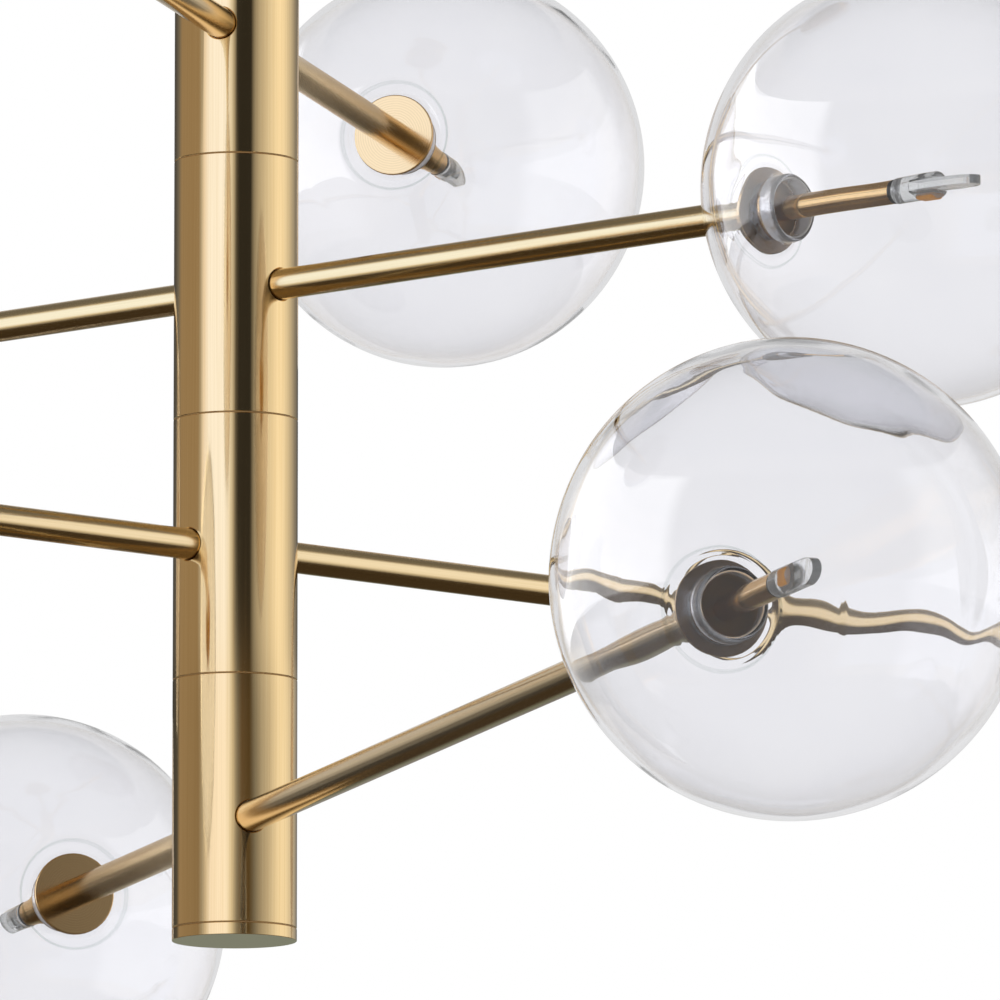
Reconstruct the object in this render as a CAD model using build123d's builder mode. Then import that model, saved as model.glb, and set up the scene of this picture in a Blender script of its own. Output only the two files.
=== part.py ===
from build123d import *
from collections import namedtuple
from math import asin, cos, degrees, radians, sin, sqrt
import os

# Hanging chandelier: a column of turning sleeves, each with a long and a short arm that end in blown globes.
# Millimetres, +Z up. The origin is on the ceiling plane, on the column's axis, and all pieces hang below it.

# Column of stacked tiers
tier_pitch = 92.6
column_dia = 44.0
sleeve_wall = 2.0
seam_thickness = 0.4
seam_inset = 0.25
edge_chamfer = 0.15
cap_thickness = 4.2
cap_spigot_length = 8.0
spigot_clearance = 0.3

# Reaches from the column's axis to the globes' centres
long_reach = 625.0
short_reach = 285.0

# Tiers from the top down: direction of the long arm in degrees from +X, and what a tier adds to the reaches
long_arm_turns = (256.8, 139.3, 43.4, 288.5)
long_reach_extras = (0.0, 0.0, 0.0, 3.0)
short_reach_extras = (0.0, 34.0, 15.0, 1.0)
arm_drop_extras = (0.0, 0.0, 0.0, 4.6)
long_lamp_rolls = (20.0, 65.0, 40.0, 90.0)
short_lamp_rolls = (80.0, 0.0, 25.0, 55.0)

# Arms and the hubs that carry them
arm_dia = 11.0
arm_wall = 1.5
arm_root = 9.0
arm_hole_clearance = 0.2
arm_hole_bevel = 0.35
hub_height = 26.0
hub_clearance = 0.3
socket_clearance = 0.05
wire_hole_dia = 6.0

# Centre pipe, its nuts and the rod that covers it
pipe_dia = 10.0
pipe_wall = 1.5
pipe_running_clearance = 0.06
pipe_bore_clearance = 0.1
pipe_end_cover = 2.0
pipe_overhang = 2.0
nut_across_flats = 17.0
nut_height = 5.0
rod_dia = 14.0
rod_wall = 1.4
rod_drop = 300.0

# Canopy, the bracket inside it and what they hold
canopy_dia = 140.0
canopy_depth = 34.0
canopy_wall = 1.2
canopy_edge_radius = 8.0
canopy_ceiling_gap = 0.5
bracket_end_gap = 9.0
bracket_length = canopy_dia - 2 * bracket_end_gap
bracket_width = 26.0
bracket_thickness = 2.5
bracket_drop = 12.0
bracket_middle = 44.0
bracket_bend_radius = 1.5
ceiling_screw_edge = 25.0
ceiling_screw_spacing = bracket_length - 2 * ceiling_screw_edge
ceiling_slot_length = 14.0
ceiling_slot_width = 5.5
canopy_screw_edge = 9.0
canopy_screw_spacing = bracket_length - 2 * canopy_screw_edge
canopy_screw_dia = 4.0
canopy_screw_clearance = 0.15
canopy_knob_dia = 11.0
canopy_knob_height = 7.0
knob_rounding = 2.5
collar_dia = 26.0
collar_height = 9.0
collar_rounding = 3.0
collar_clearance = 0.1
driver_length = 70.0
driver_width = 28.0
driver_height = 20.0
driver_offset = 33.0
terminal_length = 9.0
terminal_height = 12.0
driver_rounding = 1.5

# Blown globe with its inward neck
globe_dia = 150.0
glass_wall = 2.0
mouth_dia = 40.0
lip_radius = 10.0
neck_straight = 3.0

# Clamp stack at the globe's mouth: disc, gasket and flanged stem
disc_dia = 30.0
disc_thickness = 1.6
disc_rounding = 0.4
seat_clearance = 0.2
gasket_clearance = 0.1
flange_thickness = 2.5
flange_recess = 6.0
stem_dia = 8.4
stem_bore = 6.0
stem_fit_clearance = 0.05
stem_engagement = 15.0

# Lamp holder and capsule lamp, set back from the globe's centre
lamp_setback = 10.0
holder_rim = 2.0
holder_depth = 10.0
lamp_dia = 9.0
lamp_body_length = 19.0
lamp_body_rounding = 2.0
lamp_foot_length = 8.0
lamp_length = 35.5
blade_thickness = 3.0
blade_gap = 0.6
blade_side_inset = 0.25
blade_tip_length = 9.0
pin_dia = 0.7
pin_spacing = 4.0
pin_length = 7.0
pin_clearance = 0.1

# Half a turn in degrees
half_turn = 180

# Radii and levels that follow from the sizes above
column_r = column_dia / 2
sleeve_bore_r = column_r - sleeve_wall
arm_r = arm_dia / 2
arm_bore_r = arm_r - arm_wall
pipe_r = pipe_dia / 2
pipe_bore_r = pipe_r - pipe_wall
rod_r = rod_dia / 2
tier_count = len(long_arm_turns)
canopy_floor = -canopy_ceiling_gap - canopy_depth
canopy_seat = canopy_floor + canopy_wall
cap_top = canopy_floor - rod_drop
column_top = cap_top - cap_thickness
column_bottom = column_top - tier_count * tier_pitch
bottom_seam = column_bottom + cap_thickness
bracket_base = -bracket_drop - bracket_thickness
rod_top = bracket_base - nut_height

# Stations along an arm, measured from the globe's centre, negative towards the column
globe_r = globe_dia / 2
mouth_r = mouth_dia / 2
lip_station = -sqrt((globe_r - lip_radius) ** 2 - mouth_r**2)
disc_inner = lip_station - sqrt(lip_radius**2 - (mouth_r - disc_dia / 2) ** 2) - seat_clearance
disc_outer = disc_inner - disc_thickness
neck_bore_r = mouth_r - lip_radius
neck_end = lip_station + neck_straight
flange_inner = neck_end - flange_recess
flange_outer = flange_inner - flange_thickness
clamp_r = neck_bore_r - gasket_clearance
spigot_r = arm_bore_r - stem_fit_clearance
stem_r = stem_dia / 2
stem_bore_r = stem_bore / 2
lamp_base = -lamp_setback
stem_end = lamp_base - holder_rim
lamp_r = lamp_dia / 2

Arm = namedtuple("Arm", "turn height reach roll")


def tier_top(tier):
    """Level of the seam above a tier."""
    return column_top - tier * tier_pitch


def tier_arms(tier):
    """The long and the short arm of a tier, opposite each other."""
    height = tier_top(tier) - tier_pitch / 2 - arm_drop_extras[tier]
    turn = long_arm_turns[tier]
    long_arm = Arm(turn, height, long_reach + long_reach_extras[tier], long_lamp_rolls[tier])
    short_arm = Arm(turn + half_turn, height, short_reach + short_reach_extras[tier], short_lamp_rolls[tier])
    return long_arm, short_arm


def heading(arm):
    """Unit vector along an arm, away from the column."""
    return Vector(cos(radians(arm.turn)), sin(radians(arm.turn)), 0)


def square_plane(arm, station, roll=0):
    """Plane square to the arm at a station from the globe's centre, its X upright or rolled about the arm."""
    origin = heading(arm) * (arm.reach + station) + Vector(0, 0, arm.height)
    upright = Vector(0, 0, 1).rotate(Axis((0, 0, 0), heading(arm)), roll)
    return Plane(origin, x_dir=upright, z_dir=heading(arm))


def side_plane(arm):
    """Upright plane through the arm's axis, with X along the arm and its origin at the globe's centre."""
    origin = heading(arm) * arm.reach + Vector(0, 0, arm.height)
    return Plane(origin, x_dir=heading(arm), z_dir=heading(arm).cross(Vector(0, 0, 1)))


def write(builder, node):
    """Label a finished piece and write it under its node's name."""
    builder.part.label = node
    export_step(builder.part, f"parts/{node}.step")


def on_outside(edge):
    """Whether an edge lies on a sleeve's outer face."""
    point = edge @ 0.5
    return sqrt(point.X**2 + point.Y**2) > column_r - sleeve_wall / 2


def make_sleeve(tier):
    """Brass tube of one tier, with bevelled ends and a bevelled hole for each arm."""
    last = tier == tier_count - 1
    top = tier_top(tier) - seam_thickness
    bottom = bottom_seam + seam_thickness if last else tier_top(tier + 1)
    arm = tier_arms(tier)[0]
    with BuildPart() as sleeve:
        with BuildSketch(Plane.XY.offset(bottom)):
            Circle(column_r)
            Circle(sleeve_bore_r, mode=Mode.SUBTRACT)
        extrude(amount=top - bottom)
        rims = sleeve.edges().filter_by(GeomType.CIRCLE).filter_by(lambda edge: edge.radius > sleeve_bore_r)
        chamfer(rims, edge_chamfer)
        with BuildSketch(square_plane(arm, -arm.reach)):
            Circle(arm_r + arm_hole_clearance)
        extrude(amount=column_dia, both=True, mode=Mode.SUBTRACT)
        hole_rims = sleeve.edges().filter_by(GeomType.BSPLINE).filter_by(on_outside)
        chamfer(hole_rims, arm_hole_bevel)
    return sleeve


def make_hub(tier):
    """Block inside a sleeve: it turns on the centre pipe and the arms are screwed into its sockets."""
    arms = tier_arms(tier)
    base = Plane.XY.offset(arms[0].height - hub_height / 2)
    with BuildPart() as hub:
        with BuildSketch(base):
            Circle(sleeve_bore_r - hub_clearance)
            Circle(pipe_r + pipe_running_clearance, mode=Mode.SUBTRACT)
        extrude(amount=hub_height)
        for arm in arms:
            with BuildSketch(square_plane(arm, arm_root - arm.reach)):
                Circle(arm_r + socket_clearance)
            extrude(amount=column_r, mode=Mode.SUBTRACT)
            with BuildSketch(square_plane(arm, -arm.reach)):
                Circle(wire_hole_dia / 2)
            extrude(amount=arm_root, mode=Mode.SUBTRACT)
    return hub


def make_arm(arm):
    """Straight tube from its socket in the hub to the disc at the globe's mouth."""
    with BuildPart() as tube:
        with BuildSketch(square_plane(arm, arm_root - arm.reach)):
            Circle(arm_r)
            Circle(arm_bore_r, mode=Mode.SUBTRACT)
        extrude(amount=arm.reach + disc_outer - arm_root)
    return tube


def make_globe(arm):
    """Blown globe: one wall that runs round the ball, rolls in over the lip and ends in an inward neck."""
    plane = side_plane(arm)
    inner_r = globe_r - glass_wall
    neck_r = neck_bore_r + glass_wall
    lip_turn = half_turn - degrees(asin(mouth_r / (globe_r - lip_radius)))
    lip_centre = Vector(lip_station, mouth_r)
    lip_start = lip_centre * (globe_r / (globe_r - lip_radius))
    lip_inside = lip_centre * (inner_r / (globe_r - lip_radius))
    with BuildPart() as globe:
        with BuildSketch(plane):
            with BuildLine():
                ThreePointArc((globe_r, 0), (0, globe_r), lip_start)
                CenterArc(lip_centre, lip_radius, lip_turn, 270 - lip_turn)
                Line((lip_station, neck_bore_r), (neck_end, neck_bore_r))
                ThreePointArc(
                    (neck_end, neck_bore_r),
                    (neck_end + glass_wall / 2, neck_bore_r + glass_wall / 2),
                    (neck_end, neck_r),
                )
                Line((neck_end, neck_r), (lip_station, neck_r))
                CenterArc(lip_centre, lip_radius - glass_wall, lip_turn, 270 - lip_turn)
                ThreePointArc(lip_inside, (0, inner_r), (inner_r, 0))
                Line((inner_r, 0), (globe_r, 0))
            make_face()
        revolve(axis=Axis(plane.origin, plane.x_dir))
    return globe


def make_cover_discs(arms):
    """Thin brass discs on the arms' ends, seated in the globes' mouths."""
    with BuildPart() as discs:
        for arm in arms:
            with BuildSketch(square_plane(arm, disc_outer)):
                Circle(disc_dia / 2)
                Circle(arm_bore_r, mode=Mode.SUBTRACT)
            extrude(amount=disc_thickness)
        rims = discs.edges().filter_by(GeomType.CIRCLE).filter_by(lambda edge: edge.radius > arm_r)
        fillet(rims, disc_rounding)
    return discs


def make_neck_gaskets(arms):
    """Clear silicone sleeves that grip the necks when the stems are screwed in."""
    with BuildPart() as gaskets:
        for arm in arms:
            with BuildSketch(square_plane(arm, disc_inner)):
                Circle(clamp_r)
                Circle(arm_bore_r, mode=Mode.SUBTRACT)
            extrude(amount=flange_outer - disc_inner)
    return gaskets


def make_stems(arms):
    """Turned stems: a spigot in the arm, a flange behind the gasket and a slim tube up to the lamp."""
    with BuildPart() as stems:
        for arm in arms:
            plane = side_plane(arm)
            spigot_start = disc_outer - stem_engagement
            with BuildSketch(plane):
                with BuildLine():
                    Polyline(
                        (spigot_start, stem_bore_r),
                        (spigot_start, spigot_r),
                        (flange_outer, spigot_r),
                        (flange_outer, clamp_r),
                        (flange_inner, clamp_r),
                        (flange_inner, stem_r),
                        (stem_end, stem_r),
                        (stem_end, stem_bore_r),
                        close=True,
                    )
                make_face()
            revolve(axis=Axis(plane.origin, plane.x_dir))
    return stems


def make_lamp_holders(arms):
    """Dark plug-in holders: a rim on the stem's end, a plug in its bore and two pin holes."""
    with BuildPart() as holders:
        for arm in arms:
            with BuildSketch(square_plane(arm, stem_end)):
                Circle(stem_r)
            extrude(amount=holder_rim)
            with BuildSketch(square_plane(arm, stem_end)):
                Circle(stem_bore_r - stem_fit_clearance)
            extrude(amount=-holder_depth)
        for arm in arms:
            with BuildSketch(square_plane(arm, lamp_base, arm.roll)):
                with GridLocations(0, pin_spacing, 1, 2):
                    Circle(pin_dia / 2 + pin_clearance)
            extrude(amount=-pin_length - pin_clearance, mode=Mode.SUBTRACT)
    return holders


def make_lamp(arm):
    """Clear capsule lamp: two rounded half lenses each side of a flat blade that ends in a bullet tip."""
    base = square_plane(arm, lamp_base, arm.roll)
    flat = Plane(base.origin, x_dir=base.z_dir, z_dir=base.x_dir)
    blade_half = lamp_r - blade_side_inset
    tip_start = lamp_length - blade_tip_length
    slit_offset = blade_thickness / 2 + blade_gap / 2
    with BuildPart() as lamp:
        with BuildSketch(base):
            Circle(lamp_r)
        extrude(amount=lamp_body_length)
        fillet(lamp.faces().sort_by(Axis(base.origin, base.z_dir))[-1].edges(), lamp_body_rounding)
        with BuildSketch(flat):
            with Locations(((lamp_foot_length + lamp_length) / 2, 0)):
                Rectangle(lamp_length - lamp_foot_length, lamp_dia)
        extrude(amount=blade_thickness / 2 + blade_gap, both=True, mode=Mode.SUBTRACT)
        with BuildSketch(flat):
            with BuildLine():
                Line((lamp_foot_length, blade_half), (lamp_foot_length, -blade_half))
                Line((lamp_foot_length, -blade_half), (tip_start, -blade_half))
                EllipticalCenterArc((tip_start, 0), blade_tip_length, blade_half, -90, arc_size=half_turn)
                Line((tip_start, blade_half), (lamp_foot_length, blade_half))
            make_face()
        extrude(amount=blade_thickness / 2, both=True)
        with BuildSketch(base):
            with GridLocations(0, pin_spacing, 1, 2):
                Circle(pin_dia / 2)
        extrude(amount=-pin_length)
    return lamp


os.makedirs("parts", exist_ok=True)

# Ceiling bracket: a bent strip with a low middle, slots for the ceiling screws and holes for the canopy's
middle_half = bracket_middle / 2
foot_end = bracket_length / 2
with BuildPart() as ceiling_bracket:
    with BuildSketch(Plane.XZ):
        with BuildLine():
            Polyline(
                (0, -bracket_drop),
                (middle_half, -bracket_drop),
                (middle_half, 0),
                (foot_end, 0),
                (foot_end, -bracket_thickness),
                (middle_half + bracket_thickness, -bracket_thickness),
                (middle_half + bracket_thickness, bracket_base),
                (0, bracket_base),
            )
            mirror(about=Plane.YZ)
        make_face()
    extrude(amount=bracket_width / 2, both=True)
    bends = ceiling_bracket.edges().filter_by(Axis.Y).filter_by(
        lambda edge: abs(edge.center().X) < middle_half + 2 * bracket_thickness
    )
    fillet(bends, bracket_bend_radius)
    with BuildSketch(Plane.XY):
        with GridLocations(ceiling_screw_spacing, 0, 2, 1):
            SlotOverall(ceiling_slot_length, ceiling_slot_width)
        with GridLocations(canopy_screw_spacing, 0, 2, 1):
            Circle(canopy_screw_dia / 2 + canopy_screw_clearance)
    extrude(amount=-bracket_thickness, mode=Mode.SUBTRACT)
    with BuildSketch(Plane.XY.offset(-bracket_drop)):
        Circle(pipe_r + pipe_bore_clearance)
    extrude(amount=-bracket_thickness, mode=Mode.SUBTRACT)
write(ceiling_bracket, "ceiling_bracket")

# Canopy: a spun cup, open towards the ceiling
with BuildPart() as canopy:
    with BuildSketch(Plane.XY.offset(canopy_floor)):
        Circle(canopy_dia / 2)
    extrude(amount=canopy_depth)
    fillet(canopy.faces().sort_by(Axis.Z)[0].edges(), canopy_edge_radius)
    offset(amount=-canopy_wall, openings=canopy.faces().sort_by(Axis.Z)[-1])
    with BuildSketch(Plane.XY.offset(canopy_floor)):
        Circle(rod_r + collar_clearance)
        with GridLocations(canopy_screw_spacing, 0, 2, 1):
            Circle(canopy_screw_dia / 2 + canopy_screw_clearance)
    extrude(amount=canopy_wall, mode=Mode.SUBTRACT)
write(canopy, "canopy")

# Two knob-headed screws that hold the canopy up to the bracket
with BuildPart() as canopy_screws:
    with BuildSketch(Plane.XY.offset(canopy_floor)):
        with GridLocations(canopy_screw_spacing, 0, 2, 1):
            Circle(canopy_knob_dia / 2)
    extrude(amount=-canopy_knob_height)
    fillet(canopy_screws.faces().group_by(Axis.Z)[0].edges(), knob_rounding)
    with BuildSketch(Plane.XY.offset(canopy_floor)):
        with GridLocations(canopy_screw_spacing, 0, 2, 1):
            Circle(canopy_screw_dia / 2)
    extrude(amount=-canopy_floor - canopy_ceiling_gap)
write(canopy_screws, "canopy_screws")

# LED driver on the canopy's floor, with a lower terminal compartment at each end
with BuildPart() as led_driver:
    with BuildSketch(Plane.XZ.offset(-driver_offset)):
        with Locations((0, canopy_seat)):
            Rectangle(driver_length, terminal_height, align=(Align.CENTER, Align.MIN))
            Rectangle(driver_length - 2 * terminal_length, driver_height, align=(Align.CENTER, Align.MIN))
    extrude(amount=driver_width / 2, both=True)
    fillet(led_driver.edges().filter_by(Axis.Z), driver_rounding)
write(led_driver, "led_driver")

# Centre pipe: the hollow threaded rod that carries the stack, with a wire hole at each tier
pipe_top = -bracket_drop + nut_height + pipe_overhang
pipe_bottom = column_bottom + pipe_end_cover
with BuildPart() as centre_pipe:
    with BuildSketch(Plane.XY.offset(pipe_bottom)):
        Circle(pipe_r)
        Circle(pipe_bore_r, mode=Mode.SUBTRACT)
    extrude(amount=pipe_top - pipe_bottom)
    for tier in range(tier_count):
        arm = tier_arms(tier)[0]
        with BuildSketch(square_plane(arm, -arm.reach)):
            Circle(wire_hole_dia / 2)
        extrude(amount=pipe_dia, both=True, mode=Mode.SUBTRACT)
write(centre_pipe, "centre_pipe")

# Lock nuts on the pipe: above and below the bracket, under the top cap and on the bottom cap
nut_levels = (
    -bracket_drop,
    bracket_base - nut_height,
    column_top - cap_spigot_length - nut_height,
    bottom_seam + cap_spigot_length,
)
with BuildPart() as lock_nuts:
    for level in nut_levels:
        with BuildSketch(Plane.XY.offset(level)):
            RegularPolygon(nut_across_flats / 2, 6, major_radius=False)
            Circle(pipe_r + socket_clearance, mode=Mode.SUBTRACT)
        extrude(amount=nut_height)
write(lock_nuts, "lock_nuts")

# Down rod: the tube over the pipe between the bracket's lower nut and the top cap
with BuildPart() as down_rod:
    with BuildSketch(Plane.XY.offset(cap_top)):
        Circle(rod_r)
        Circle(rod_r - rod_wall, mode=Mode.SUBTRACT)
    extrude(amount=rod_top - cap_top)
write(down_rod, "down_rod")

# Collar that covers the canopy's hole
with BuildPart() as canopy_collar:
    with BuildSketch(Plane.XY.offset(canopy_floor)):
        Circle(collar_dia / 2)
        Circle(rod_r + collar_clearance, mode=Mode.SUBTRACT)
    extrude(amount=-collar_height)
    lower_rim = canopy_collar.faces().sort_by(Axis.Z)[0].edges().sort_by(SortBy.RADIUS)[-1]
    fillet(lower_rim, collar_rounding)
write(canopy_collar, "canopy_collar")

# Top cap: closes the column and centres its first sleeve
with BuildPart() as top_cap:
    with BuildSketch(Plane.XY.offset(column_top)):
        Circle(column_r)
    extrude(amount=cap_thickness)
    chamfer(top_cap.edges().filter_by(GeomType.CIRCLE), edge_chamfer)
    with BuildSketch(Plane.XY.offset(column_top)):
        Circle(sleeve_bore_r - spigot_clearance)
    extrude(amount=-cap_spigot_length)
    with BuildSketch(Plane.XY.offset(cap_top)):
        Circle(pipe_r + pipe_bore_clearance)
    extrude(amount=-cap_thickness - cap_spigot_length, mode=Mode.SUBTRACT)
write(top_cap, "top_cap")

# Bottom cap: screwed on the pipe's end, it carries the stack
with BuildPart() as bottom_cap:
    with BuildSketch(Plane.XY.offset(column_bottom)):
        Circle(column_r)
    extrude(amount=cap_thickness)
    chamfer(bottom_cap.edges().filter_by(GeomType.CIRCLE), edge_chamfer)
    with BuildSketch(Plane.XY.offset(bottom_seam)):
        Circle(sleeve_bore_r - spigot_clearance)
    extrude(amount=cap_spigot_length)
    with BuildSketch(Plane.XY.offset(pipe_bottom)):
        Circle(pipe_r + pipe_bore_clearance)
    extrude(amount=cap_thickness + cap_spigot_length, mode=Mode.SUBTRACT)
write(bottom_cap, "bottom_cap")

# Friction washers: one in the seam above each tier and one on the bottom cap
seam_levels = [tier_top(tier) - seam_thickness for tier in range(tier_count)] + [bottom_seam]
with BuildPart() as friction_washers:
    for level in seam_levels:
        with BuildSketch(Plane.XY.offset(level)):
            Circle(column_r - seam_inset)
            Circle(sleeve_bore_r, mode=Mode.SUBTRACT)
        extrude(amount=seam_thickness)
write(friction_washers, "friction_washers")

# The four tiers, each with its sleeve, hub, arms, globes and lamps
for tier in range(tier_count):
    name = f"tier_{tier + 1}"
    arms = tier_arms(tier)
    write(make_sleeve(tier), f"{name}_sleeve")
    write(make_hub(tier), f"{name}_hub")
    for arm, kind in zip(arms, ("long", "short")):
        write(make_arm(arm), f"{name}_{kind}_arm")
        write(make_globe(arm), f"{name}_{kind}_globe")
        write(make_lamp(arm), f"{name}_{kind}_lamp")
    write(make_cover_discs(arms), f"{name}_cover_discs")
    write(make_neck_gaskets(arms), f"{name}_neck_gaskets")
    write(make_stems(arms), f"{name}_stems")
    write(make_lamp_holders(arms), f"{name}_lamp_holders")
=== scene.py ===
import math
from collections import namedtuple

import bmesh
import bpy
from mathutils import Matrix, Vector, noise


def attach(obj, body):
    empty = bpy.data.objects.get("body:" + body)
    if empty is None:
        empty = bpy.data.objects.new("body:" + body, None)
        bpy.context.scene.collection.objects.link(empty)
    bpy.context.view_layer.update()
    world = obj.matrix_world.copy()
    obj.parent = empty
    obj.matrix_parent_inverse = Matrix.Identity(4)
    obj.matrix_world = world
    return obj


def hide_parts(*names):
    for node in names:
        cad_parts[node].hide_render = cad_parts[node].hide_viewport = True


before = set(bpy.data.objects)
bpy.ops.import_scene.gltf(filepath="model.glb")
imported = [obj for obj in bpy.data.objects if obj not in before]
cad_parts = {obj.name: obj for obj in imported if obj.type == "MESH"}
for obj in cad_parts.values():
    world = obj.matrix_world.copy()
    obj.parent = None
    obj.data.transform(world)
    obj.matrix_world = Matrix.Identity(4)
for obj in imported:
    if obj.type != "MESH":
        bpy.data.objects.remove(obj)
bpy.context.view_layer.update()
scene = bpy.context.scene

MM = 0.001

# Sizes repeated from the part's source, in millimetres and degrees
column_top = -338.7
tier_pitch = 92.6
long_reach = 625.0
short_reach = 285.0
long_arm_turns = (256.8, 139.3, 43.4, 288.5)
long_reach_extras = (0.0, 0.0, 0.0, 3.0)
short_reach_extras = (0.0, 34.0, 15.0, 1.0)
arm_drop_extras = (0.0, 0.0, 0.0, 4.6)
long_lamp_rolls = (20.0, 65.0, 40.0, 90.0)
short_lamp_rolls = (80.0, 0.0, 25.0, 55.0)
globe_r = 75.0
glass_wall = 2.0
mouth_r = 20.0
lip_radius = 10.0
neck_straight = 3.0
lamp_base = -10.0

# What follows from them along an arm, measured from the globe's centre
lip_station = -math.sqrt((globe_r - lip_radius) ** 2 - mouth_r**2)
neck_bore_r = mouth_r - lip_radius
neck_end = lip_station + neck_straight

# Lamps plugged in the other way round, in degrees about their arms: those of the lowest tier
lamp_flips = (0, 0, 0, 180)

Arm = namedtuple("Arm", "tier kind turn reach height roll")
arms = []
for index, turn in enumerate(long_arm_turns):
    tier, flip = index + 1, lamp_flips[index]
    height = column_top - (index + 0.5) * tier_pitch - arm_drop_extras[index]
    far = long_reach + long_reach_extras[index]
    near = short_reach + short_reach_extras[index]
    arms.append(Arm(tier, "long", turn, far, height, long_lamp_rolls[index] + flip))
    arms.append(Arm(tier, "short", turn + 180, near, height, short_lamp_rolls[index] + flip))


def at_globe(arm):
    """Matrix from millimetres round a globe's centre, X along its arm, to the object's frame in metres."""
    turned = Matrix.Rotation(math.radians(arm.turn), 4, "Z")
    place = turned @ Matrix.Translation((arm.reach, 0, 0))
    return Matrix.Scale(MM, 4) @ Matrix.Translation((0, 0, arm.height)) @ place


def linear(code):
    """Linear RGBA of an sRGB hex colour."""
    parts = [int(code[i : i + 2], 16) / 255 for i in (1, 3, 5)]
    return [c / 12.92 if c <= 0.04045 else ((c + 0.055) / 1.055) ** 2.4 for c in parts] + [1.0]


def add(tree, kind, inputs=None, **settings):
    """Add a node with its settings, and with values or links on its inputs."""
    node = tree.nodes.new(kind)
    for name, value in settings.items():
        setattr(node, name, value)
    for socket, value in (inputs or {}).items():
        if isinstance(value, bpy.types.NodeSocket):
            tree.links.new(value, node.inputs[socket])
        else:
            node.inputs[socket].default_value = value
    return node


def blank(name):
    """A new material and its empty node tree."""
    material = bpy.data.materials.new(name)
    material.use_nodes = True
    material.node_tree.nodes.clear()
    return material, material.node_tree


# A Mix node's two colours among its inputs, and the mixed one among its outputs
mix_a, mix_b, mixed = 6, 7, 2

# Depth of the polishing and turning lines, in millimetres
line_depth = 0.1


# Satin brass: drawn or turned, polished and lacquered, pale gold with fine streaks in the tone
def satin_brass(name, pattern, gloss, depth, shades=("#DDBD87", "#EED3A1")):
    material, tree = blank(name)
    place = add(tree, "ShaderNodeTexCoord").outputs["Object"]
    grain = pattern(tree, place)
    tone = add(tree, "ShaderNodeMix", {
        "Factor": grain,
        mix_a: linear(shades[0]),
        mix_b: linear(shades[1]),
    }, data_type="RGBA")
    rough = add(tree, "ShaderNodeMapRange", {"Value": grain, "To Min": gloss[0], "To Max": gloss[1]})
    relief = add(tree, "ShaderNodeBump", {"Height": grain, "Strength": depth, "Distance": line_depth * MM})
    shader = add(tree, "ShaderNodeBsdfPrincipled", {
        "Base Color": tone.outputs[mixed],
        "Metallic": 1.0,
        "Roughness": rough.outputs[0],
        "Normal": relief.outputs[0],
    })
    add(tree, "ShaderNodeOutputMaterial", {"Surface": shader.outputs[0]})
    return material


# Polishing lines along a drawn tube: real ones are about 0.05 mm apart, drawn coarser so that they show
line_gap, line_length = 0.6, 80


def polished_along(turn, stretch):
    def pattern(tree, place):
        turned = add(tree, "ShaderNodeMapping", {"Vector": place, "Rotation": (0, 0, math.radians(-turn))})
        drawn = add(tree, "ShaderNodeMapping", {
            "Vector": turned.outputs[0],
            "Scale": [1 / (size * MM) for size in stretch],
        })
        lines = add(tree, "ShaderNodeTexNoise", {"Vector": drawn.outputs[0], "Scale": 1.0, "Detail": 3.0})
        return lines.outputs["Fac"]
    return pattern


# Turning rings on a lathe-cut disc: real ones are about 0.1 mm apart, drawn coarser so that they show
ring_gap = 0.9
# What a Wave node multiplies its coordinates by, besides its scale
wave_factor = 20


def turned_about(turn, height):
    def pattern(tree, place):
        centred = add(tree, "ShaderNodeMapping", {
            "Vector": place,
            "Location": (0, 0, -height * MM),
            "Rotation": (0, 0, math.radians(-turn)),
        })
        rings = add(tree, "ShaderNodeTexWave", {
            "Vector": centred.outputs[0],
            "Scale": 2 * math.pi / (wave_factor * ring_gap * MM),
            "Distortion": 1.5,
            "Detail": 2.0,
            "Detail Scale": 1.5,
        }, wave_type="RINGS", rings_direction="X")
        return rings.outputs["Fac"]
    return pattern


# The column is the glossiest, the arms are duller, and the turned discs are warmer; the stems are warmer and
# also lighter than the arms' brass, that lightness being painted light on the stems inside the globes
upright = polished_along(0, (line_gap, line_gap, line_length))
column_brass = satin_brass("satin_brass_column", upright, gloss=(0.05, 0.11), depth=0.04)
warm_painted_light, ruddy = ("#EDC78F", "#FAD69C"), ("#E2BC88", "#E9C48F")
arm_brass, stem_brass, disc_brass = {}, {}, {}
for arm in arms[::2]:
    n = arm.tier
    along = polished_along(arm.turn, (line_length, line_gap, line_gap))
    rings = turned_about(arm.turn, arm.height)
    arm_brass[n] = satin_brass(f"satin_brass_arm_{n}", along, gloss=(0.14, 0.22), depth=0.05)
    # The stems' lighter shades are painted light, making up for the light lost in the globes' glass
    stem_brass[n] = satin_brass(f"satin_brass_stem_{n}", along, gloss=(0.1, 0.16), depth=0.03, shades=warm_painted_light)
    disc_brass[n] = satin_brass(f"turned_brass_disc_{n}", rings, gloss=(0.08, 0.13), depth=0.015, shades=ruddy)


# Clear glass: a faint cast that thickens in clouds, and swells in its surface that bend what lies behind
def clear_glass(name, tints, swell, height, clear=1.0, ior=1.5, rough=0.0, silver=0.0):
    material, tree = blank(name)
    place = add(tree, "ShaderNodeTexCoord").outputs["Object"]
    wave = add(tree, "ShaderNodeTexNoise", {
        "Vector": place,
        "Scale": 1 / (swell * MM),
        "Detail": 1.0,
    }).outputs["Fac"]
    tint = add(tree, "ShaderNodeMix", {
        "Factor": wave,
        mix_a: linear(tints[0]),
        mix_b: linear(tints[1]),
    }, data_type="RGBA")
    relief = add(tree, "ShaderNodeBump", {"Height": wave, "Strength": 1.0, "Distance": height * MM})
    shader = add(tree, "ShaderNodeBsdfPrincipled", {
        "Base Color": tint.outputs[mixed],
        "Metallic": silver,
        "Roughness": rough,
        "IOR": ior,
        "Transmission Weight": clear,
        "Normal": relief.outputs[0],
    })
    add(tree, "ShaderNodeOutputMaterial", {"Surface": shader.outputs[0]})
    return material


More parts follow.
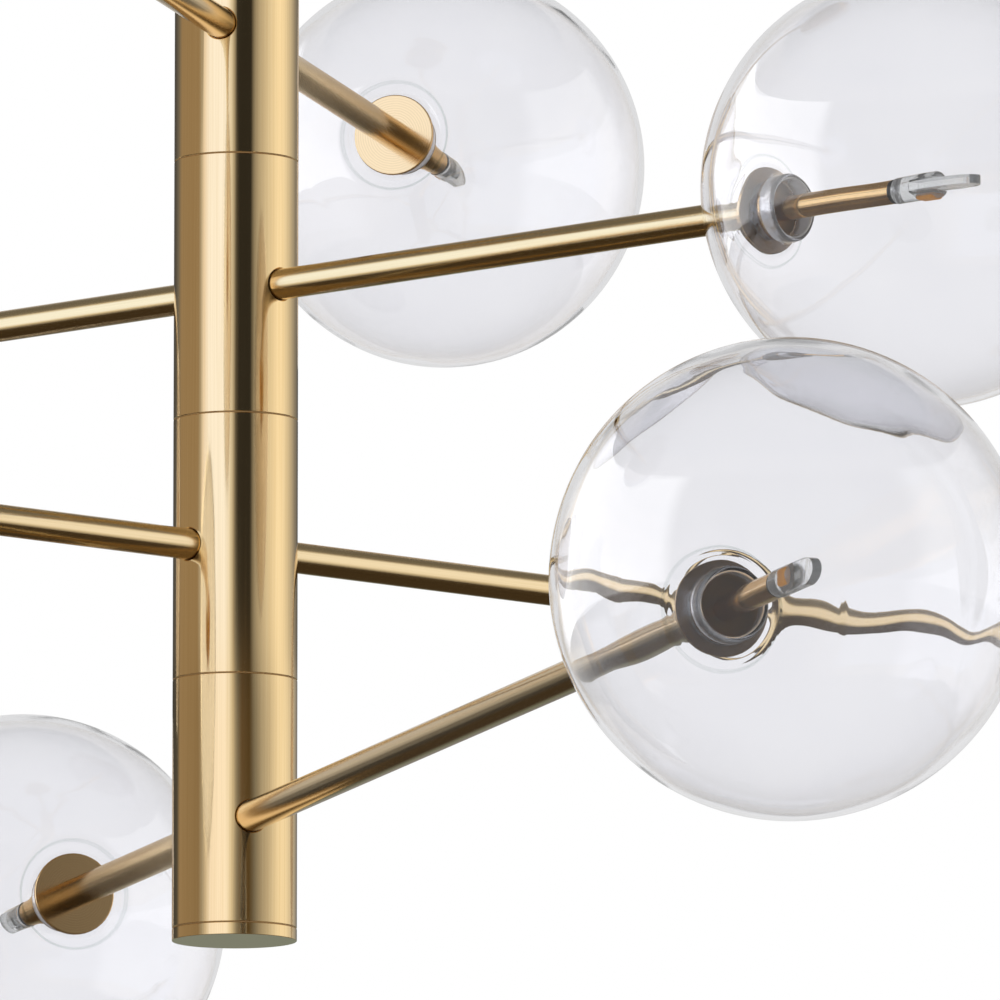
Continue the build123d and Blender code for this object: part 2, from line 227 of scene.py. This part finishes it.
# Blown soda-lime glass: colourless, with the slow swells of blowing, about 28 mm long
blown_glass = clear_glass("blown_soda_lime_glass", ("#F6F6F9", "#FAFAFC"), swell=28, height=0.12)
# Ground and silvered glass of the neck's bore, which hides the fixing: a bright mirror under a fine bloom
silvered_glass = clear_glass(
    "silvered_neck_glass", ("#F8F9F9", "#FDFDFD"), swell=1.2, height=0.02, clear=0.28, rough=0.15, silver=0.55
)
# Pressed lamp glass: a little milky, with the small ripples of its mould
lamp_glass = clear_glass(
    "pressed_lamp_glass", ("#EFF1EE", "#F8F9F7"), swell=3, height=0.02, clear=0.8, ior=1.45, rough=0.02
)
# Glass tinted grey in a thin ring at the lip's crest: painted shade for the dark line where the wall turns
# sharply into the lip
lip_line_painted_shade_glass = clear_glass("lip_glass_painted_line_shade", ("#D9DDDE", "#E4E7E8"), swell=4, height=0.02)

# Width of the clouds in the tone of moulded, cast and plated stuff, in grains
cloud_grains = 12


# Moulded, cast and plated stuff: a cloudy tone between two shades, and a grain that dents and dulls it
def grained(name, shades, grain, gloss, dent, **finish):
    material, tree = blank(name)
    place = add(tree, "ShaderNodeTexCoord").outputs["Object"]
    cloud = add(tree, "ShaderNodeTexNoise", {
        "Vector": place,
        "Scale": 1 / (cloud_grains * grain * MM),
        "Detail": 2.0,
    }).outputs["Fac"]
    pits = add(tree, "ShaderNodeTexNoise", {
        "Vector": place,
        "Scale": 1 / (grain * MM),
        "Detail": 2.0,
    }).outputs["Fac"]
    tone = add(tree, "ShaderNodeMix", {
        "Factor": cloud,
        mix_a: linear(shades[0]),
        mix_b: linear(shades[1]),
    }, data_type="RGBA")
    rough = add(tree, "ShaderNodeMapRange", {"Value": pits, "To Min": gloss[0], "To Max": gloss[1]})
    relief = add(tree, "ShaderNodeBump", {"Height": pits, "Strength": 0.5, "Distance": dent * MM})
    shader = add(tree, "ShaderNodeBsdfPrincipled", {
        "Base Color": tone.outputs[mixed],
        "Roughness": rough.outputs[0],
        "Normal": relief.outputs[0],
    })
    for socket, value in finish.items():
        shader.inputs[socket.replace("_", " ")].default_value = value
    add(tree, "ShaderNodeOutputMaterial", {"Surface": shader.outputs[0]})
    return material


# Moulded silicone: milky clear, with a soft matt skin
silicone = grained(
    "clear_silicone", ("#EEEFEF", "#F8F8F8"), grain=0.8, gloss=(0.14, 0.24), dent=0.02,
    IOR=1.41, Transmission_Weight=0.8,
)
# Moulded phenolic: black with a fine spark-eroded grain
black_plastic = grained(
    "black_phenolic", ("#151413", "#23211F"), grain=0.5, gloss=(0.32, 0.5), dent=0.03, IOR=1.55
)
# Raw brass on the backs of discs and flanges, which the neck hides: unpolished and dull, and dark brown as
# painted shade of the neck's hollow
raw_brass_painted_shade = grained(
    "raw_brass_painted_shade", ("#614828", "#745733"), grain=1.0, gloss=(0.32, 0.46), dent=0.02, Metallic=1.0
)
# Zinc-plated steel: cool grey, clouded by the passivated plating
zinc = grained(
    "zinc_plated_steel", ("#AEB2B6", "#C6C9CC"), grain=2.0, gloss=(0.22, 0.4), dent=0.02, Metallic=1.0
)
# Cast aluminium: grey with the sandy skin of the mould
aluminium = grained(
    "cast_aluminium", ("#A2A4A6", "#B4B6B8"), grain=1.5, gloss=(0.4, 0.6), dent=0.1, Metallic=1.0
)
# Moulded nylon: amber and waxy, a warm thin line between the sleeves
nylon = grained("amber_nylon", ("#8E6B3A", "#A8834F"), grain=0.6, gloss=(0.4, 0.6), dent=0.02, IOR=1.53)
# Moulded ABS: off-white with a fine etched texture
case = grained("white_abs", ("#E4E3DE", "#EEEDE9"), grain=0.7, gloss=(0.4, 0.52), dent=0.05, IOR=1.52)
# Phosphor in silicone: an orange-yellow strip with a grainy, dull surface
phosphor = grained("led_phosphor", ("#C07A2C", "#DDA14C"), grain=0.4, gloss=(0.45, 0.65), dent=0.04, IOR=1.43)


def spin(bm, geom, centre, axis, turn, steps, merge=False):
    """Sweep geometry round an axis and give back the end of the sweep."""
    swept = bmesh.ops.spin(
        bm, geom=geom, cent=centre, axis=axis, angle=math.radians(turn), steps=steps, use_merge=merge
    )
    return swept["geom_last"]


def extrude_point(bm, point, step):
    """Draw one vertex along by a step and give back its new end."""
    drawn = bmesh.ops.extrude_vert_indiv(bm, verts=point)["verts"]
    bmesh.ops.translate(bm, verts=drawn, vec=step)
    return drawn


def only_verts(geom):
    """The vertices among some geometry."""
    return [item for item in geom if isinstance(item, bmesh.types.BMVert)]


def set_up(bm, name, *materials):
    """Turn a bmesh into an object with these materials."""
    mesh = bpy.data.meshes.new(name)
    bm.to_mesh(mesh)
    bm.free()
    for material in materials:
        mesh.materials.append(material)
    piece = bpy.data.objects.new(name, mesh)
    scene.collection.objects.link(piece)
    return piece


def finish_piece(bm, name, body, slot, materials, *nodes):
    """Turn a bmesh into a smooth piece that rides on a body and stands for CAD nodes."""
    piece = set_up(bm, name, *materials)
    piece.data.shade_smooth()
    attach(piece, body)
    if nodes:
        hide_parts(*nodes)
    return piece


# Facets of a globe's wall, along its outline and round its arm's axis
ball_steps, shoulder_steps, lip_steps, inner_lip_steps, rim_steps, round_steps = 76, 24, 24, 20, 8, 128
# The last part of the ball before the lip, in degrees
shoulder = 22
# Vertices closer than this are one, in millimetres
merge_gap = 0.001
# Where the ball runs softly into the lip, as hot glass does: beyond a station and between two radii
soft_station, soft_inner_r, soft_outer_r, soft_passes = -55, 18, 38, 24
# Waves of the inner wall where it was drawn out in blowing: their lengths and heights, and where they set in
slow_length, slow_height, quick_length, quick_height = 60, 0.16, 20, 0.13
wave_start, wave_growth = lip_station + 8, 20
# How much further on in the noise each tier's waves are taken
wave_step = 7.0
# Depth of the bore's silvered skin, and half the width of the lip's painted grey line
bore_skin, lip_line = 0.6, 0.45


def blow_globe(arm):
    """One glass wall: round the ball, over the lip, down the inward neck and back along the inside."""
    middle, across, along = (0, 0, 0), (0, -1, 0), (1, 0, 0)
    lip_turn = 180 - math.degrees(math.asin(mouth_r / (globe_r - lip_radius)))
    lip_sweep = 270 - lip_turn
    lip_centre = (lip_station, 0, mouth_r)
    rim_centre = (neck_end, 0, neck_bore_r + glass_wall / 2)
    bm = bmesh.new()
    end = [bm.verts.new((globe_r, 0, 0))]
    end = only_verts(spin(bm, end, middle, across, lip_turn - shoulder, ball_steps))
    end = only_verts(spin(bm, end, middle, across, shoulder, shoulder_steps))
    end = only_verts(spin(bm, end, lip_centre, across, lip_sweep, lip_steps))
    end = extrude_point(bm, end, (neck_straight, 0, 0))
    end = only_verts(spin(bm, end, rim_centre, across, 180, rim_steps))
    end = extrude_point(bm, end, (-neck_straight, 0, 0))
    end = only_verts(spin(bm, end, lip_centre, across, -lip_sweep, inner_lip_steps))
    end = only_verts(spin(bm, end, middle, across, -shoulder, shoulder_steps))
    spin(bm, end, middle, across, shoulder - lip_turn, ball_steps)
    spin(bm, bm.verts[:] + bm.edges[:], middle, along, 360, round_steps, merge=True)
    bmesh.ops.remove_doubles(bm, verts=bm.verts, dist=merge_gap)
    bmesh.ops.recalc_face_normals(bm, faces=bm.faces)
    soft = [
        vert for vert in bm.verts
        if vert.co.x < soft_station and soft_inner_r < math.hypot(vert.co.y, vert.co.z) < soft_outer_r
    ]
    for _ in range(soft_passes):
        bmesh.ops.smooth_vert(bm, verts=soft, factor=0.5, use_axis_x=True, use_axis_y=True, use_axis_z=True)
    seed = Vector((arm.tier * wave_step, arm.reach, 0))
    for vert in bm.verts:
        if vert.co.length < globe_r - glass_wall / 2 and vert.co.x > wave_start:
            slow = noise.noise(vert.co / slow_length + seed) * slow_height
            quick = noise.noise(vert.co / quick_length + seed) * quick_height
            fade = min(1, (vert.co.x - wave_start) / wave_growth)
            vert.co -= vert.co.normalized() * (slow + quick) * fade
    glasses = (blown_glass, silvered_glass, lip_line_painted_shade_glass)
    # The bore gets the silvered glass, and a thin ring at the lip's crest the grey glass, painted shade of the
    # sharp bend
    for face in bm.faces:
        centre = face.calc_center_median()
        from_axis = math.hypot(centre.y, centre.z)
        if centre.x < neck_end + glass_wall and from_axis < neck_bore_r + bore_skin:
            face.material_index = glasses.index(silvered_glass)
        elif centre.x < lip_station and abs(from_axis - mouth_r) < lip_line:
            face.material_index = glasses.index(lip_line_painted_shade_glass)
    bmesh.ops.transform(bm, matrix=at_globe(arm), verts=bm.verts)
    node = f"tier_{arm.tier}_{arm.kind}_globe"
    return finish_piece(bm, f"{node}_glass", f"tier_{arm.tier}", "blown_glass", glasses, node)


# A lamp's works: centre and size from the lamp's base, and the rounding of their edges, in millimetres
Works = namedtuple("Works", "name slot material centre size edge")
lamp_works = (
    Works("phosphor", "lamp_glass", phosphor, centre=(13.4, 0, -3.5), size=(8.0, 5.6, 2.3), edge=1.1),
    Works("chip", "black_holder", black_plastic, centre=(11.0, 0, 2.7), size=(2.6, 2.2, 0.9), edge=0.2),
)


def fill_lamp(arm):
    """A pillow of phosphor over one half lens of a lamp, and the chip that shows through the other."""
    rolled = Matrix.Rotation(math.radians(arm.roll), 4, "X")
    place = at_globe(arm) @ Matrix.Translation((lamp_base, 0, 0)) @ rolled
    lamp = f"tier_{arm.tier}_{arm.kind}_lamp"
    made = []
    for works in lamp_works:
        bm = bmesh.new()
        bmesh.ops.create_cube(bm, size=1)
        bmesh.ops.scale(bm, vec=works.size, verts=bm.verts)
        bmesh.ops.bevel(
            bm, geom=bm.edges[:], offset=works.edge, offset_type="OFFSET", affect="EDGES", segments=3,
            profile=0.5, material=-1,
        )
        bmesh.ops.translate(bm, vec=works.centre, verts=bm.verts)
        bmesh.ops.transform(bm, matrix=place, verts=bm.verts)
        name = f"{lamp}_{works.name}"
        made.append(finish_piece(bm, name, f"tier_{arm.tier}", works.slot, [works.material]))
    return made


globe_pieces = []
for arm in arms:
    globe_pieces.append(blow_globe(arm))
    globe_pieces += fill_lamp(arm)


def paint(node, material):
    """Give a CAD node its finish and give back its object."""
    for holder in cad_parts[node].material_slots:
        holder.material = material
    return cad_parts[node]


# How squarely a face has to look away from the column to count as a back, as a cosine
back_facing = 0.7


def paint_shaded_backs(node, material):
    """Give a darker finish, painted shade of the neck's hollow, to the faces of a CAD node that look away from
    the column.
    """
    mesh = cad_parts[node].data
    mesh.materials.append(material)
    for face in mesh.polygons:
        outward = Vector((face.center.x, face.center.y, 0)).normalized()
        if face.normal.dot(outward) > back_facing:
            face.material_index = len(mesh.materials) - 1


column_pieces, arm_pieces = [], []
for node in ("canopy", "canopy_screws", "down_rod", "canopy_collar", "top_cap", "bottom_cap"):
    column_pieces.append(paint(node, column_brass))
for node in ("ceiling_bracket", "centre_pipe", "lock_nuts"):
    column_pieces.append(paint(node, zinc))
column_pieces.append(paint("led_driver", case))
column_pieces.append(paint("friction_washers", nylon))
for n in arm_brass:
    column_pieces.append(paint(f"tier_{n}_sleeve", column_brass))
    column_pieces.append(paint(f"tier_{n}_hub", aluminium))
    for piece, material in (
        ("long_arm", arm_brass[n]),
        ("short_arm", arm_brass[n]),
        ("stems", stem_brass[n]),
        ("cover_discs", disc_brass[n]),
        ("neck_gaskets", silicone),
        ("lamp_holders", black_plastic),
        ("long_lamp", lamp_glass),
        ("short_lamp", lamp_glass),
    ):
        arm_pieces.append(paint(f"tier_{n}_{piece}", material))
    # The backs of the stems and discs get the darker raw brass, which is painted shade inside the necks
    for piece in ("stems", "cover_discs"):
        paint_shaded_backs(f"tier_{n}_{piece}", raw_brass_painted_shade)

# Camera: a long lens, low and in front, looking up at the column's lower end
camera_tilt, camera_turn = 8.55, 1.52
camera_data = bpy.data.cameras.new("camera")
camera_data.sensor_width = 36
camera_data.lens = 506.8
camera_data.clip_end = 200
camera = bpy.data.objects.new("camera", camera_data)
camera.location = (0.2237, -4.9103, -1.2912)
camera.rotation_euler = (math.radians(90 + camera_tilt), 0, math.radians(camera_turn))
scene.collection.objects.link(camera)
scene.camera = camera

# Studio: a white world and a pale floor, screens that only metal mirrors, and a tent that only glass mirrors
scene.view_settings.view_transform = "Standard"
scene.cycles.max_bounces = 64
scene.cycles.transmission_bounces = 48
scene.cycles.glossy_bounces = 32
scene.cycles.transparent_max_bounces = 64

# Its sizes in metres
column_screen_r, arm_screen_r, tent_r, floor_r = 2.6, 2.7, 3.1, 300
screen_foot, screen_head = -1.75, 1.9
tent_foot, tent_head = -1.78, 2.6
floor_level = -1.8
studio_facets = 96


def seen_rays(tree):
    """Switch for the rays that show a thing: straight from the camera, mirrored, or through glass."""
    path = add(tree, "ShaderNodeLightPath").outputs
    seen = path["Is Camera Ray"]
    for more in ("Is Glossy Ray", "Is Transmission Ray"):
        both = add(tree, "ShaderNodeMath", {0: seen, 1: path[more]}, operation="ADD", use_clamp=True)
        seen = both.outputs[0]
    return seen


# The world is white to look at, and lights matt surfaces a little less
world_light = 0.7
world = bpy.data.worlds.new("white_studio")
scene.world = world
world.use_nodes = True
sky_tree = world.node_tree
sky_tree.nodes.clear()
level = add(sky_tree, "ShaderNodeMapRange", {
    "Value": seen_rays(sky_tree),
    "To Min": world_light,
    "To Max": 1.0,
})
sky = add(sky_tree, "ShaderNodeBackground", {"Color": (1, 1, 1, 1), "Strength": level.outputs[0]})
add(sky_tree, "ShaderNodeOutputWorld", {"Surface": sky.outputs[0]})

# Surfaces of glass that a ray passes on its way into a globe and out of it
globe_crossings = 4.0
# Depths of rays are whole numbers, so half a step tells them apart
half_step = 0.5


def mirrored_rays(tree):
    """Two switches: one for what metal mirrors, in the open or inside a globe, and one for what glass mirrors.

    Metal in the open blurs what it mirrors, and glass doesn't. What metal inside a globe mirrors comes to it
    through the glass, which sharpens the ray's last step, and is told by the number of surfaces passed.
    """
    path = add(tree, "ShaderNodeLightPath").outputs
    mirrored = add(tree, "ShaderNodeMath", {0: path["Glossy Depth"], 1: half_step}, operation="GREATER_THAN")
    inside = add(tree, "ShaderNodeMath", {
        0: path["Transmission Depth"],
        1: globe_crossings,
        2: half_step,
    }, operation="COMPARE")
    blurred = add(tree, "ShaderNodeMath", {0: 1.0, 1: path["Is Singular Ray"]}, operation="SUBTRACT")
    either = add(tree, "ShaderNodeMath", {
        0: inside.outputs[0],
        1: blurred.outputs[0],
    }, operation="ADD", use_clamp=True)
    metal = add(tree, "ShaderNodeMath", {0: mirrored.outputs[0], 1: either.outputs[0]}, operation="MULTIPLY")
    glass = add(tree, "ShaderNodeMath", {0: mirrored.outputs[0], 1: metal.outputs[0]}, operation="SUBTRACT")
    return metal.outputs[0], glass.outputs[0]


# A ramp's colours end at 1, so levels of light are divided by this there and multiplied again in the glow
glow = 2.0
# Tint of the screens where metal inside the globes mirrors them
globe_warmth = (1.0, 0.86, 0.68, 1)


def glowing(name, colour_of):
    """Screen stuff that adds its glow to what metal mirrors, warmer inside the globes.

    colour_of adds the nodes of its colour.
    """
    material, tree = blank(name)
    metal, _ = mirrored_rays(tree)
    clear = add(tree, "ShaderNodeBsdfTransparent")
    strength = add(tree, "ShaderNodeMath", {0: metal, 1: glow}, operation="MULTIPLY")
    sharp = add(tree, "ShaderNodeLightPath").outputs["Is Singular Ray"]
    warmed = add(tree, "ShaderNodeMix", {
        "Factor": sharp,
        mix_a: colour_of(tree),
        mix_b: globe_warmth,
    }, data_type="RGBA", blend_type="MULTIPLY")
    light = add(tree, "ShaderNodeEmission", {"Color": warmed.outputs[mixed], "Strength": strength.outputs[0]})
    both = add(tree, "ShaderNodeAddShader", {0: clear.outputs[0], 1: light.outputs[0]})
    add(tree, "ShaderNodeOutputMaterial", {"Surface": both.outputs[0]})
    material.cycles.emission_sampling = "NONE"
    return material


def tent_cloth(name, colour_of, closed=False):
    """Tent cloth behind the screens: black to what metal mirrors and lit to what glass mirrors.

    Rays that pass straight through glass go through it too, unless it is closed.
    """
    material, tree = blank(name)
    metal, glass = mirrored_rays(tree)
    either = add(tree, "ShaderNodeMath", {
        0: metal,
        1: 1.0 if closed else glass,
    }, operation="ADD", use_clamp=True)
    clear = add(tree, "ShaderNodeBsdfTransparent")
    lit_part = add(tree, "ShaderNodeMath", {0: either.outputs[0], 1: metal}, operation="SUBTRACT")
    strength = add(tree, "ShaderNodeMath", {0: lit_part.outputs[0], 1: glow}, operation="MULTIPLY")
    lit = add(tree, "ShaderNodeEmission", {"Color": colour_of(tree), "Strength": strength.outputs[0]})
    shown = add(tree, "ShaderNodeMixShader", {0: either.outputs[0], 1: clear.outputs[0], 2: lit.outputs[0]})
    add(tree, "ShaderNodeOutputMaterial", {"Surface": shown.outputs[0]})
    material.cycles.emission_sampling = "NONE"
    return material


def receivers(name, pieces):
    """The pieces that a set of screens shows in."""
    group = bpy.data.collections.new(name)
    for piece in pieces:
        group.objects.link(piece)
    return group


mirror_in_column = receivers("mirror_in_column", column_pieces)
mirror_in_arms = receivers("mirror_in_arms", arm_pieces + globe_pieces)


def studio_piece(bm, name, material, group=None):
    """A piece of the studio that neither the camera nor matt surfaces see."""
    piece = set_up(bm, name, material)
    piece.visible_camera = False
    piece.visible_shadow = False
    piece.visible_diffuse = False
    if group:
        piece.light_linking.receiver_collection = group


def wall(low, high, radius):
    """A round wall between two heights."""
    bm = bmesh.new()
    bmesh.ops.create_circle(bm, segments=studio_facets, radius=radius)
    bmesh.ops.translate(bm, verts=bm.verts, vec=(0, 0, low))
    rise = bmesh.ops.extrude_edge_only(bm, edges=bm.edges[:])["geom"]
    bmesh.ops.translate(bm, verts=only_verts(rise), vec=(0, 0, high - low))
    return bm


def sheet(height, radius):
    """A level round sheet."""
    bm = bmesh.new()
    bmesh.ops.create_circle(bm, cap_ends=True, segments=studio_facets, radius=radius)
    bmesh.ops.translate(bm, verts=bm.verts, vec=(0, 0, height))
    return bm


# Bearings are counted from the camera, which stands this many degrees to the right of the front
camera_bearing = 2.6


def by_bearing(stops):
    """Light all round: each stop is a bearing, negative to the left, and a level or a colour of light."""
    def colour_of(tree):
        place = add(tree, "ShaderNodeTexCoord").outputs["Object"]
        turned = add(tree, "ShaderNodeMapping", {
            "Vector": place,
            "Rotation": (0, 0, math.radians(90 - camera_bearing)),
        }).outputs[0]
        round_about = add(tree, "ShaderNodeTexGradient", {"Vector": turned}, gradient_type="RADIAL")
        ramp = add(tree, "ShaderNodeValToRGB", {"Fac": round_about.outputs["Fac"]})
        points = ramp.color_ramp.elements
        while len(points) < len(stops):
            points.new(0.5)
        # All the places come before the colours, because the points sort themselves by them
        for point, (bearing, _) in zip(points, stops):
            point.position = (bearing + 180) / 360
        for point, (_, level) in zip(points, stops):
            shade = level if isinstance(level, tuple) else (level,) * 3
            point.color = [part / glow for part in shade] + [1]
        return ramp.outputs["Color"]
    return colour_of


def evenly(*level):
    """One colour of light all over."""
    return lambda tree: [part / glow for part in level] + [1]


def hang_screens(kind, group, radius, rows, overhead, underfoot):
    """Rows of screens all round, each from the top of the one below it, and a level one above and below."""
    low = screen_foot
    for row, high, stops in rows:
        name = f"{kind}_{row}_screens"
        studio_piece(wall(low, high, radius), name, glowing(name, by_bearing(stops)), group)
        low = high
    for row, height, level in (("overhead", screen_head, overhead), ("floor", screen_foot, underfoot)):
        name = f"{kind}_{row}"
        studio_piece(sheet(height, radius), name, glowing(name, evenly(*level)), group)


# What the column mirrors, low down the same in front as in the middle, and sage behind
sage, tan, cream = (0.23, 0.26, 0.22), (0.38, 0.31, 0.23), (1.25, 1.42, 1.95)
column_high = [
    (-180, 0.06), (-150, 0.1), (-134, 0.2), (-122, tan), (-74, tan), (-69, 0.5), (-62, (1.05, 1.05, 1.2)),
    (-50, cream), (-19, cream), (-11, (1.05, 1.12, 1.3)), (-5, 0.6), (0, 0.12), (5, 0.035), (27, 0.035),
    (34, 0.36), (42, 0.57), (58, 0.84), (76, 1.1), (86, 1.22), (98, 1.14), (121, 0.68), (139, 0.34),
    (160, 0.14), (180, 0.06),
]
column_mid = [
    (-180, 0.05), (-150, 0.07), (-132, 0.1), (-122, tan), (-70, (0.32, 0.26, 0.19)), (-62, 0.45),
    (-54, (0.8, 0.78, 0.8)), (-44, (1.2, 1.25, 1.5)), (-18, (1.25, 1.32, 1.6)), (-11, (1.1, 1.15, 1.3)),
    (-5, 0.85), (0, 0.5), (5, 0.26), (12, (0.16, 0.12, 0.08)), (27, (0.11, 0.08, 0.04)), (36, 0.2),
    (50, 0.46), (67, 0.7), (86, 1.07), (96, 1.15), (110, 1.08), (121, 0.9), (139, 0.58), (160, 0.25),
    (180, 0.05),
]
front_limit = 135
column_low = [(bearing, level) for bearing, level in column_mid if abs(bearing) < front_limit]
column_low = [(-180, sage), (-150, sage), *column_low, (150, sage), (180, sage)]
hang_screens("column", mirror_in_column, column_screen_r, (
    ("low", -0.85, column_low),
    ("mid", -0.255, column_mid),
    ("high", 1.3, column_high),
    ("top", screen_head, [(-180, 0.5), (180, 0.5)]),
), overhead=(0.6, 0.6, 0.6), underfoot=(0.3, 0.26, 0.2))

# What the arms, discs and stems mirror
cool, mild, brown = (1.2, 1.45, 2.0), (1.12, 1.2, 1.4), (0.06, 0.045, 0.028)
front = [(-10, 0.9), (-1, 0.2), (5, 0.03), (28, 0.03), (34, 0.3), (45, 0.6)]
front_and_sides = [(-108, cool), (-22, cool), *front, (72, mild), (104, mild)]
hang_screens("arm", mirror_in_arms, arm_screen_r, (
    ("floor", -1.4, [
        (-180, sage), (-170, brown), (-125, brown), (-105, 0.4), (-75, 0.4), (-50, 0.25), (-10, 0.15),
        (5, 0.03), (29, 0.03), (50, 0.2), (75, 0.45), (105, 0.45), (125, brown), (170, brown), (180, sage),
    ]),
    ("low", -1.05, [
        (-180, sage), (-172, 0.06), (-140, 0.05), (-118, 0.35), (-105, 0.9), (-60, 0.95), *front,
        (72, 0.8), (103, 0.85), (120, 0.4), (140, 0.07), (172, 0.06), (180, sage),
    ]),
    ("mid", -0.6, [
        (-180, 0.4), (-168, 0.16), (-140, 0.16), (-124, 0.5), *front_and_sides,
        (124, 0.5), (142, 0.16), (168, 0.16), (180, 0.4),
    ]),
    ("level", -0.3, [
        (-180, 0.7), (-160, 0.4), (-140, 0.4), (-124, 0.7), *front_and_sides,
        (124, 0.6), (142, 0.4), (160, 0.4), (180, 0.7),
    ]),
    ("high", 1.0, [
        (-180, 0.75), (-160, 0.58), (-140, 0.58), (-124, 0.8), *front_and_sides,
        (124, 0.7), (142, 0.58), (160, 0.58), (180, 0.75),
    ]),
    ("upper", 1.35, [
        (-180, 0.5), (-124, 0.5), (-108, 0.8), (-22, 0.8), (5, 0.2), (29, 0.2), (60, 0.7), (104, 0.7),
        (124, 0.5), (180, 0.5),
    ]),
    ("top", screen_head, [(-180, 0.24), (180, 0.24)]),
), overhead=(0.18, 0.18, 0.18), underfoot=brown)

# What the glass mirrors: white behind, a large softbox each side, and a dim room in front
room = [
    (-180, 0.75), (-150, 0.75), (-138, 2.1), (-56, 2.1), (-48, 0.42), (50, 0.42), (60, 1.15), (115, 1.15),
    (125, 0.7), (150, 0.75), (180, 0.75),
]
dim_room = [(-180, 0.8), (-140, 0.8), (-110, 0.6), (110, 0.6), (140, 0.8), (180, 0.8)]
low = tent_foot
for name, high, stops in (
    ("tent_low", -0.9, dim_room),
    ("tent_middle", 1.7, room),
    ("tent_high", tent_head, dim_room),
):
    studio_piece(wall(low, high, tent_r), name, tent_cloth(name, by_bearing(stops)))
    low = high
tent_top = tent_cloth("tent_top", evenly(0.54, 0.56, 0.58), closed=True)
studio_piece(sheet(tent_head, tent_r), "tent_top", tent_top)
tent_floor = tent_cloth("tent_floor", evenly(0.6, 0.6, 0.6))
studio_piece(sheet(tent_foot, tent_r), "tent_floor", tent_floor)

# Pale floor: nearly as white as the world to look at, with the object's faint shadow
floor_white = 0.94
pale_floor, floor_tree = blank("pale_floor")
matt = add(floor_tree, "ShaderNodeBsdfDiffuse", {"Color": (0.8, 0.8, 0.8, 1)})
white = add(floor_tree, "ShaderNodeEmission", {"Color": (1, 1, 1, 1), "Strength": 1.0})
share = add(floor_tree, "ShaderNodeMath", {0: seen_rays(floor_tree), 1: floor_white}, operation="MULTIPLY")
both = add(floor_tree, "ShaderNodeMixShader", {0: share.outputs[0], 1: matt.outputs[0], 2: white.outputs[0]})
add(floor_tree, "ShaderNodeOutputMaterial", {"Surface": both.outputs[0]})
floor = set_up(sheet(floor_level, floor_r), "floor", pale_floor)


def softbox(name, place, aim, size, power):
    """A lamp that lights matt surfaces and shows nowhere itself."""
    data = bpy.data.lights.new(name, "AREA")
    data.shape = "RECTANGLE"
    data.size, data.size_y = size
    data.energy = power
    lamp = bpy.data.objects.new(name, data)
    lamp.location = place
    lamp.rotation_euler = (Vector(aim) - Vector(place)).to_track_quat("-Z", "Y").to_euler()
    lamp.visible_camera = False
    lamp.visible_glossy = False
    lamp.visible_transmission = False
    scene.collection.objects.link(lamp)


column_middle = (0, 0, -0.6)
softbox("key_lamp", place=(-2.2, -2.4, 1.6), aim=column_middle, size=(1.6, 2.2), power=40)
softbox("fill_lamp", place=(2.6, -0.6, 1.0), aim=column_middle, size=(1.6, 2.2), power=20)
